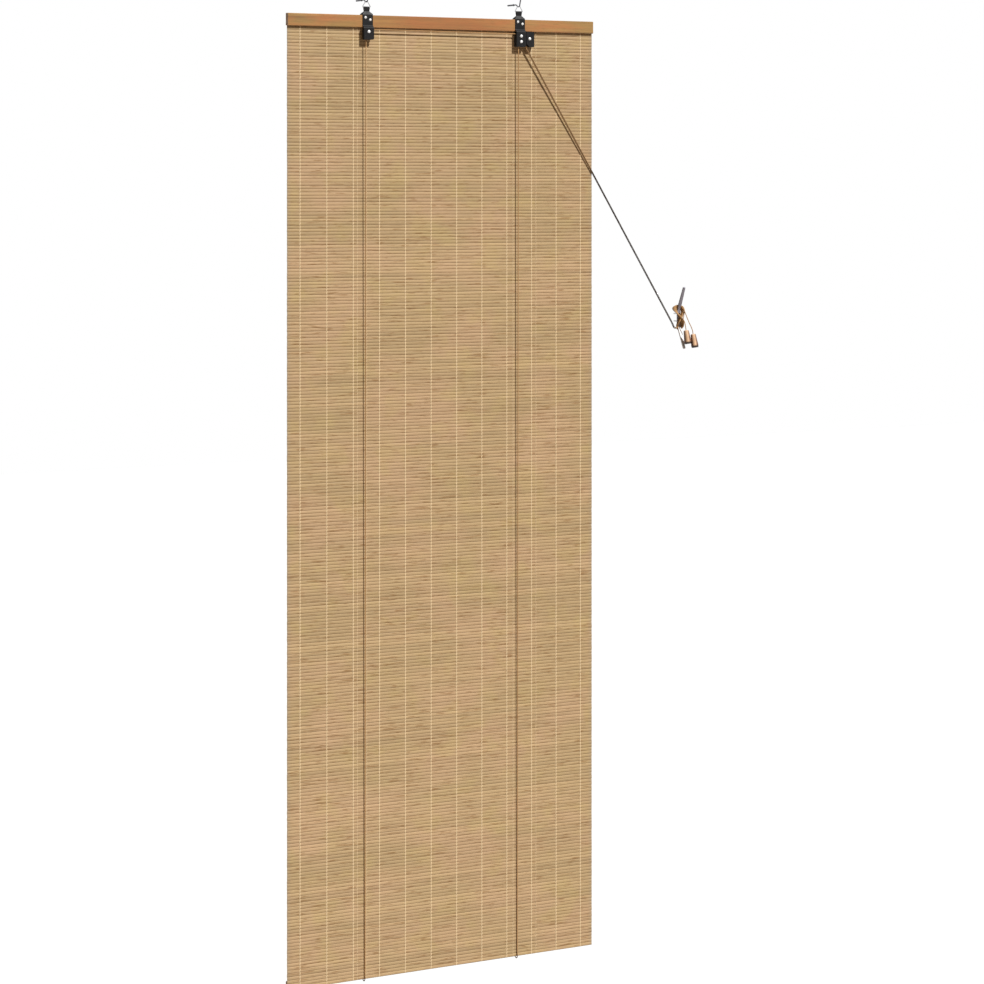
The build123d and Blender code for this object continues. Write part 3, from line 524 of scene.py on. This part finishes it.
def winding(side):
    """The figure eights of one cord round the cleat's horns, from the lower horn's back to its end."""
    own = settings()
    second = side == "right"
    lay = own.cord_lay
    sideways = (-0.5 if second else 0.5) * lay * 0.001
    turns = WINDING_TURNS[side]
    count = int(turns * own.points_per_turn)
    points = []
    for step in range(1, count + 1):
        turn = turns * step / count
        angle = pi + 2 * pi * turn
        height = (own.winding_height + lay * (TALLER_PER_TURN * turn + 0.5 * second)) * 0.001
        flare = 1 + TOP_FLARE * cos(angle)
        width = (own.winding_width + WIDER_PER_TURN * lay * turn) * flare * 0.001
        lobe = sin(2 * angle)
        hug = HORN_HUG
        if lobe < 0 < cos(angle):
            lobe *= 1 - own.winding_lobe * turn * lobe
            hug += HUG_PER_TURN * turn
        front = (own.winding_front + lay * FRONT_PER_TURN * turn) * 0.001
        behind = (BEHIND_MM + 0.5 * lay * turn) * 0.001
        forward = abs(sin(angle)) ** hug
        x = width * lobe + sideways
        y = -(behind + (front - behind) * forward)
        points.append(CLEAT + Vector((x, y, height * cos(angle))))
    return points


def pull_cord_route(side):
    """The whole route of one pull cord: lock, cleat, winding, end in its wooden pull."""
    start = Vector(LOCK_EXITS[side])
    run = [CLEAT + Vector(point) for point in CORD_RUNS[side]]
    near = start + (run[0] - start).normalized() * STRAIGHT_OUT
    ends = [CLEAT + Vector(point) for point in CORD_ENDS[side]]
    top = CLEAT + Vector(PULL_TOPS[side])
    into = top + Vector(PULL_LEAN).normalized() * INTO_PULL
    return [start, near, *run, *winding(side), *ends, top, into]


def own_mesh(made, name):
    """Turns an object's evaluated geometry into its own plain mesh."""
    bpy.context.view_layer.update()
    depsgraph = bpy.context.evaluated_depsgraph_get()
    mesh = bpy.data.meshes.new_from_object(made.evaluated_get(depsgraph))
    made.modifiers.clear()
    made.data = mesh
    mesh.name = name
    return made


class Nodes:
    """Short calls for building one geometry node tree, which lays pieces down the mat."""

    def __init__(self, name, inputs):
        self.tree = bpy.data.node_groups.new(name, "GeometryNodeTree")
        self.tree.interface.new_socket("Geometry", in_out="OUTPUT", socket_type="NodeSocketGeometry")
        self.sockets = {}
        for label, kind, value in inputs:
            socket = self.tree.interface.new_socket(label, in_out="INPUT", socket_type=kind)
            socket.default_value = value
            self.sockets[label] = socket.identifier
        self.entry = self.tree.nodes.new("NodeGroupInput")
        self.exit = self.tree.nodes.new("NodeGroupOutput")

    def input(self, label):
        return self.entry.outputs[label]

    def add(self, kind, options=None, **values):
        node = self.tree.nodes.new(kind)
        for name, value in (options or {}).items():
            setattr(node, name, value)
        for name, value in values.items():
            self.feed(node.inputs[name.replace("_", " ")], value)
        return node

    def feed(self, socket, value):
        if isinstance(value, bpy.types.NodeSocket):
            self.tree.links.new(value, socket)
        else:
            socket.default_value = value

    def math(self, operation, a, b=0.0):
        node = self.add("ShaderNodeMath", {"operation": operation})
        self.feed(node.inputs[0], a)
        self.feed(node.inputs[1], b)
        return node.outputs[0]

    def times(self, a, b):
        return self.math("MULTIPLY", a, b)

    def vector(self, x, y, z):
        node = self.add("ShaderNodeCombineXYZ")
        for socket, value in zip(node.inputs, (x, y, z)):
            self.feed(socket, value)
        return node.outputs[0]

    def down_the_mat(self, x, y):
        """One point for each slat, at its middle."""
        pitch = self.input("Pitch")
        first = self.vector(x, y, self.math("SUBTRACT", RAIL_TOP, self.times(pitch, 0.5)))
        offset = self.vector(0.0, 0.0, self.times(pitch, -1.0))
        slats = self.input("Slats")
        return self.add("GeometryNodeMeshLine", Count=slats, Start_Location=first, Offset=offset)

    def random(self, low, high):
        """A vector between low and high for each piece laid."""
        kind = {"data_type": "FLOAT_VECTOR"}
        node = self.add("FunctionNodeRandomValue", kind, Seed=self.input("Seed"))
        node.inputs[0].default_value = low
        node.inputs[1].default_value = high
        return node.outputs[0]

    def finish(self, geometry, material):
        real = self.add("GeometryNodeRealizeInstances", Geometry=geometry)
        painted = self.add("GeometryNodeSetMaterial", Geometry=real.outputs[0], Material=material)
        self.feed(self.exit.inputs[0], painted.outputs[0])
        return self.tree


def from_tree(name, nodes, values):
    """An object made by a node tree with the given input values, as a plain mesh."""
    made = bpy.data.objects.new(name, bpy.data.meshes.new(name))
    bpy.context.scene.collection.objects.link(made)
    modifier = made.modifiers.new("build", "NODES")
    modifier.node_group = nodes.tree
    for label, value in values.items():
        modifier[nodes.sockets[label]] = value
    return own_mesh(made, name)


def joined(objects):
    """The first object, with the other objects' meshes added to its own."""
    first, *others = objects
    shape = bmesh.new()
    for one in objects:
        shape.from_mesh(one.data)
    shape.to_mesh(first.data)
    shape.free()
    for one in others:
        bpy.data.objects.remove(one)
    return first


def slat_nodes(material):
    """One crowned slat, repeated down the mat with a slight shift and tilt of its own."""
    n = Nodes("Slats", [
        ("Slats", "NodeSocketInt", SLATS),
        ("Pitch", "NodeSocketFloat", 0.00745),
        ("Width", "NodeSocketFloat", 0.8),
        ("Thickness", "NodeSocketFloat", 0.0015),
        ("Crown", "NodeSocketFloat", 0.5),
        ("Waviness", "NodeSocketFloat", 0.0002),
        ("Seed", "NodeSocketInt", 7),
    ])
    half = n.times(n.input("Width"), 0.5)
    ends = (n.vector(n.times(half, -1.0), 0.0, 0.0), n.vector(half, 0.0, 0.0))
    line = n.add("GeometryNodeCurvePrimitiveLine", Start=ends[0], End=ends[1])
    steps = n.add("GeometryNodeResampleCurve", Curve=line.outputs[0], Count=21)
    circle = n.add("GeometryNodeCurvePrimitiveCircle", {"mode": "RADIUS"}, Resolution=12, Radius=1.0)
    place = n.add("GeometryNodeInputPosition").outputs[0]
    split = n.add("ShaderNodeSeparateXYZ", Vector=place).outputs
    crowned = n.math("POWER", n.math("ABSOLUTE", split[0]), n.input("Crown"))
    rounded = n.times(n.math("SIGN", split[0]), crowned)
    thick = n.times(rounded, n.times(n.input("Thickness"), 0.5))
    high = n.times(split[1], n.times(n.input("Pitch"), 0.515))
    outline = n.vector(thick, high, 0.0)
    profile = n.add("GeometryNodeSetPosition", Geometry=circle.outputs[0], Position=outline)
    bar = n.add("GeometryNodeCurveToMesh", Curve=steps.outputs[0], Fill_Caps=True)
    n.feed(bar.inputs["Profile Curve"], profile.outputs[0])
    rows = n.down_the_mat(0.0, MAT_Y)
    laid = n.add("GeometryNodeInstanceOnPoints", Points=rows.outputs[0], Instance=bar.outputs[0])
    n.feed(laid.inputs["Rotation"], n.random((-0.05, 0.0, 0.0), (0.05, 0.0, 0.0)))
    n.feed(laid.inputs["Scale"], n.random((0.9988, 0.88, 0.99), (1.0, 1.0, 1.0)))
    real = n.add("GeometryNodeRealizeInstances", Geometry=laid.outputs[0])
    wave = n.add("ShaderNodeTexNoise", Scale=14.0, Detail=1.0)
    at_rest = n.add("GeometryNodeInputPosition").outputs[0]
    n.feed(wave.inputs["Vector"], at_rest)
    drift = n.times(n.math("SUBTRACT", wave.outputs["Fac"], 0.5), n.input("Waviness"))
    kept = n.add("GeometryNodeStoreNamedAttribute", {"data_type": "FLOAT_VECTOR"}, Name="rest")
    n.feed(kept.inputs["Geometry"], real.outputs[0])
    n.feed(kept.inputs["Value"], at_rest)
    strayed = n.vector(0.0, drift, drift)
    bent = n.add("GeometryNodeSetPosition", Geometry=kept.outputs[0], Offset=strayed)
    n.finish(bent.outputs[0], material)
    return n


def stitch_nodes(material):
    """One loop of thread over a slat, repeated along every row of binding."""
    n = Nodes("Binding", [
        ("Slats", "NodeSocketInt", SLATS),
        ("Pitch", "NodeSocketFloat", 0.00745),
        ("Rows", "NodeSocketInt", 12),
        ("First row", "NodeSocketFloat", -0.368),
        ("Row spacing", "NodeSocketFloat", 0.736 / 11),
        ("Depth", "NodeSocketFloat", MAT_Y),
        ("Stitch width", "NodeSocketFloat", 0.0021),
        ("Stitch height", "NodeSocketFloat", 0.0009),
        ("Seed", "NodeSocketInt", 3),
    ])
    ball = n.add("GeometryNodeMeshUVSphere", Segments=6, Rings=5, Radius=0.5)
    length = n.times(n.input("Pitch"), 1.12)
    size = n.vector(n.input("Stitch width"), n.input("Stitch height"), length)
    sized = n.add("GeometryNodeTransform", Geometry=ball.outputs[0], Scale=size)
    down = n.down_the_mat(n.input("First row"), n.input("Depth"))
    across = n.add("GeometryNodeMeshLine", Count=n.input("Rows"))
    n.feed(across.inputs["Offset"], n.vector(n.input("Row spacing"), 0.0, 0.0))
    grid = n.add("GeometryNodeInstanceOnPoints", Points=across.outputs[0], Instance=down.outputs[0])
    places = n.add("GeometryNodeRealizeInstances", Geometry=grid.outputs[0])
    laid = n.add("GeometryNodeInstanceOnPoints", Points=places.outputs[0], Instance=sized.outputs[0])
    n.feed(laid.inputs["Rotation"], n.random((0.0, 0.10, 0.0), (0.0, 0.30, 0.0)))
    n.finish(laid.outputs[0], material)
    return n


# Settings and steps


def colour_setting(name, description, default):
    return FloatVectorProperty(
        name=name, description=description, subtype="COLOR", size=3, min=0, max=1, default=linear(default)
    )


def number_setting(name, description, default, unit="NONE"):
    return FloatProperty(name=name, description=description, default=default, unit=unit)


class BlindSettings(bpy.types.PropertyGroup):
    """Sizes and colours of the dressed blind."""

    bamboo: colour_setting("Bamboo", "Mean colour of the slats", (184, 157, 116))
    rail: colour_setting("Rail wood", "Mean colour of the battens", (168, 130, 77))
    pull_wood: colour_setting("Pull wood", "Colour of the wooden pulls", (240, 198, 158))
    thread: colour_setting("Thread", "Colour of the binding thread", (240, 212, 168))
    cord: colour_setting("Cord", "Colour of the lift cords", (196, 152, 100))
    lacquer: colour_setting("Lacquer", "Colour of the brackets", (9, 8, 9))
    cleat: colour_setting("Cleat", "Colour of the cleat's paint", (150, 147, 158))
    cord_diameter: number_setting("Cord diameter", "Diameter of the lift cords", 0.002, "LENGTH")
    cord_lay: number_setting("Cord lay", "Room that one turn takes in the winding, in mm", 2.15)
    winding_height: number_setting("Winding height", "Height of the innermost turn, in mm", 22.6)
    winding_width: number_setting("Winding width", "Half width of the innermost turn, in mm", 6.2)
    winding_lobe: number_setting("Winding lobe", "Growth of the upper left lobe per turn", 0.34)
    winding_front: number_setting("Winding front", "Depth of the first crossing, in mm", 6.2)
    points_per_turn: IntProperty(
        name="Points per turn", description="Control points in one turn", default=16
    )
    waviness: number_setting("Waviness", "How far a slat strays", 0.00025, "LENGTH")
    sun: number_setting("Key light", "Strength of the key light", 4.7)
    sky: number_setting("Fill", "Strength of the even fill light", 0.11)


class BLIND_OT_camera(bpy.types.Operator):
    """Sets up the camera at the photograph's viewing angle"""

    bl_idname = "blind.camera"
    bl_label = "Camera"

    def execute(self, context):
        data = bpy.data.cameras.new("camera")
        data.sensor_width = 36.0
        data.lens = 108.1
        data.shift_y = -0.325
        data.clip_end = 100.0
        camera = bpy.data.objects.new("camera", data)
        context.scene.collection.objects.link(camera)
        camera.location = CAMERA_PLACE
        camera.rotation_euler = Vector(CAMERA_LOOK).to_track_quat("-Z", "Y").to_euler()
        context.scene.camera = camera
        return {"FINISHED"}


class BLIND_OT_pull_cords(bpy.types.Operator):
    """Runs both pull cords from the lock to the cleat, winds them and ends them in the pulls"""

    bl_idname = "blind.pull_cords"
    bl_label = "Pull cords"

    def execute(self, context):
        own = settings()
        material = braid("braided_cord", True, painted_dark_run=True)
        for side in ("left", "right"):
            route = pull_cord_route(side)
            line = even_steps(curve_line(route, f"{side}_route"), CORD_STEP)
            cord = tube(f"{side}_pull_cord_braided", line, own.cord_diameter / 2)
            cord.data.materials.append(material)
            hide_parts(f"{side}_pull_cord", f"{side}_cord_end", "cleat_winding")
            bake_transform(cord)
        return {"FINISHED"}


class BLIND_OT_blind_cords(bpy.types.Operator):
    """Lays the runs of cord that hold the mat, in front of it and behind it"""

    bl_idname = "blind.blind_cords"
    bl_label = "Blind cords"

    def execute(self, context):
        own = settings()
        material = braid("braided_cord_on_blind", True)
        for side, x in CORD_X.items():
            runs = {
                "front": ((x, *FRONT_CORD_TOP), (x, FRONT_CORD_FOOT_Y, BLIND_BOTTOM)),
                "back": ((x, BACK_CORD_Y, BLIND_BOTTOM), (x, BACK_CORD_Y, BACK_CORD_TOP)),
            }
            for face, (start, end) in runs.items():
                a, b = Vector(start), Vector(end)
                line = [a.lerp(b, step / CORD_STEPS) for step in range(CORD_STEPS + 1)]
                cord = tube(f"{side}_{face}_cord_braided", line, own.cord_diameter / 2, CORD_SIDES)
                cord.data.materials.append(material)
                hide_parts(f"{side}_{face}_cord")
                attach(cord, "blind")
                gathers(cord)
        plain = braid("braided_cord_in_lock", False)
        dress(plain, "left_top_cord", "right_top_cord")
        # Painted shade: the loops under the mat's foot take the cord's colour darkened to 0.22.
        dress(braid("braided_cord_below_painted_shade", False, 0.22), "left_cord_loop", "right_cord_loop")
        return {"FINISHED"}


class BLIND_OT_mat(bpy.types.Operator):
    """Lays the bamboo slats side by side down the mat"""

    bl_idname = "blind.mat"
    bl_label = "Mat"

    def execute(self, context):
        mat = from_tree("bamboo_slats", slat_nodes(bamboo()), {
            "Slats": SLATS, "Pitch": SLAT_PITCH, "Waviness": settings().waviness,
        })
        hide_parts("reed_mat")
        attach(mat, "blind")
        gathers(mat)
        return {"FINISHED"}


class BLIND_OT_threads(bpy.types.Operator):
    """Binds the slats with rows of thread on both faces"""

    bl_idname = "blind.threads"
    bl_label = "Binding threads"

    def execute(self, context):
        nodes = stitch_nodes(thread())
        for face, depth in (("front", MAT_Y - STITCH_OFF_CENTRE), ("rear", MAT_Y + STITCH_OFF_CENTRE)):
            shared = {"Slats": SLATS, "Pitch": SLAT_PITCH, "Depth": depth}
            wide = shared | {"Stitch width": STITCH_WIDTH}
            narrow = shared | {
                "Rows": 1, "Stitch width": CLOSE_STITCH_WIDTH, "Stitch height": CLOSE_STITCH_HEIGHT,
            }
            even = from_tree(f"{face}_binding_stitches", nodes, wide)
            close = [
                from_tree(f"{face}_close_row_{number}", nodes, narrow | {"First row": x, "Seed": number})
                for number, x in enumerate(CLOSE_ROWS)
            ]
            stitches = joined([even, *close])
            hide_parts(f"{face}_warp_threads")
            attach(stitches, "blind")
            gathers(stitches)
        return {"FINISHED"}


class BLIND_OT_wood(bpy.types.Operator):
    """Stains the battens and the lath and finishes the turned pulls"""

    bl_idname = "blind.wood"
    bl_label = "Wood"

    def execute(self, context):
        rail = stained_wood("stained_rail", tuple(settings().rail))
        dress(rail, "front_batten", "rear_batten", "bottom_lath")
        for side in ("left", "right"):
            dress(turned_wood(side), f"{side}_wooden_pull")
        return {"FINISHED"}


class BLIND_OT_metal(bpy.types.Operator):
    """Finishes the brackets, the lock, the hooks, the screws and the cleat"""

    bl_idname = "blind.metal"
    bl_label = "Metal parts"

    def execute(self, context):
        dress(lacquer(), "left_bracket", "right_bracket", "lock_housing")
        zinc = metal("bright_zinc", linear((206, 206, 205)), 0.22, 0.38, (300.0, 300.0, 300.0))
        dress(zinc, "cleat_screws")
        dull = metal("dull_zinc", linear((104, 104, 108)), 0.30, 0.48, (300.0, 300.0, 300.0))
        dress(dull, "left_screw_hook", "right_screw_hook")
        nickel = metal("white_nickel", linear((246, 246, 244)), 0.34, 0.5, (300.0, 300.0, 300.0), 0.35)
        dress(nickel, "bracket_screws", "left_roller_axle", "upper_roller_axle", "lower_roller_axle",
              "cam_axle")
        wire = metal("drawn_wire", linear((176, 176, 178)), 0.25, 0.42, (60.0, 900.0, 900.0))
        dress(wire, "left_bail", "right_bail", "cord_staples")
        cast = metal("cast_cam", linear((96, 92, 88)), 0.36, 0.55, (500.0, 500.0, 500.0))
        dress(cast, "lock_cam")
        dress(moulded(), "left_roller", "upper_roller", "lower_roller")
        dress(grey_paint(), "cord_cleat")
        return {"FINISHED"}


class BLIND_OT_stage(bpy.types.Operator):
    """Adds the pale floor, the key light and the even white surroundings"""

    bl_idname = "blind.stage"
    bl_label = "Stage"

    def execute(self, context):
        bpy.ops.mesh.primitive_plane_add(size=40.0, location=(0.0, 0.0, FLOOR_HEIGHT))
        floor = context.object
        floor.name = "floor"
        t = Tree("pale_floor")
        tone = t.mix(background(t.nodes, t.links), FLOOR_BOUNCE, FLOOR_SEEN)
        t.set(Base_Color=tone, Roughness=0.9)
        floor.data.materials.append(t.material)

        light = bpy.data.lights.new("key", "SUN")
        light.energy = settings().sun
        light.angle = radians(KEY_SPREAD_DEGREES)
        key = bpy.data.objects.new("key", light)
        context.scene.collection.objects.link(key)
        key.rotation_euler = Vector(KEY_DIRECTION).to_track_quat("-Z", "Y").to_euler()

        world = bpy.data.worlds.new("surroundings")
        context.scene.world = world
        world.use_nodes = True
        nodes, links = world.node_tree.nodes, world.node_tree.links
        seen = nodes["Background"]
        seen.inputs["Color"].default_value = (1.0, 1.0, 1.0, 1.0)
        seen.inputs["Strength"].default_value = 1.0
        fill = nodes.new("ShaderNodeBackground")
        fill.inputs["Color"].default_value = FILL_COLOUR
        fill.inputs["Strength"].default_value = settings().sky
        mix = nodes.new("ShaderNodeMixShader")
        links.new(background(nodes, links), mix.inputs[0])
        links.new(fill.outputs[0], mix.inputs[1])
        links.new(seen.outputs[0], mix.inputs[2])
        links.new(mix.outputs[0], nodes["World Output"].inputs["Surface"])
        context.scene.view_settings.view_transform = "Standard"
        return {"FINISHED"}


class BLIND_PT_panel(bpy.types.Panel):
    """Lists the steps that dress the blind"""

    bl_idname = "BLIND_PT_panel"
    bl_label = "Bamboo blind"
    bl_space_type = "VIEW_3D"
    bl_region_type = "UI"
    bl_category = "Blind"

    def draw(self, context):
        for step in STEPS:
            self.layout.operator(step.bl_idname)
        for name in BlindSettings.__annotations__:
            self.layout.prop(context.scene.blind, name)


STEPS = (
    BLIND_OT_camera,
    BLIND_OT_pull_cords,
    BLIND_OT_blind_cords,
    BLIND_OT_mat,
    BLIND_OT_threads,
    BLIND_OT_wood,
    BLIND_OT_metal,
    BLIND_OT_stage,
)
CLASSES = (BlindSettings, *STEPS, BLIND_PT_panel)


def register():
    for cls in CLASSES:
        bpy.utils.register_class(cls)
    bpy.types.Scene.blind = PointerProperty(type=BlindSettings)


def unregister():
    del bpy.types.Scene.blind
    for cls in reversed(CLASSES):
        bpy.utils.unregister_class(cls)


def main():
    register()
    for step in STEPS:
        group, name = step.bl_idname.split(".")
        getattr(getattr(bpy.ops, group), name)()


if __name__ == "__main__":
    main()
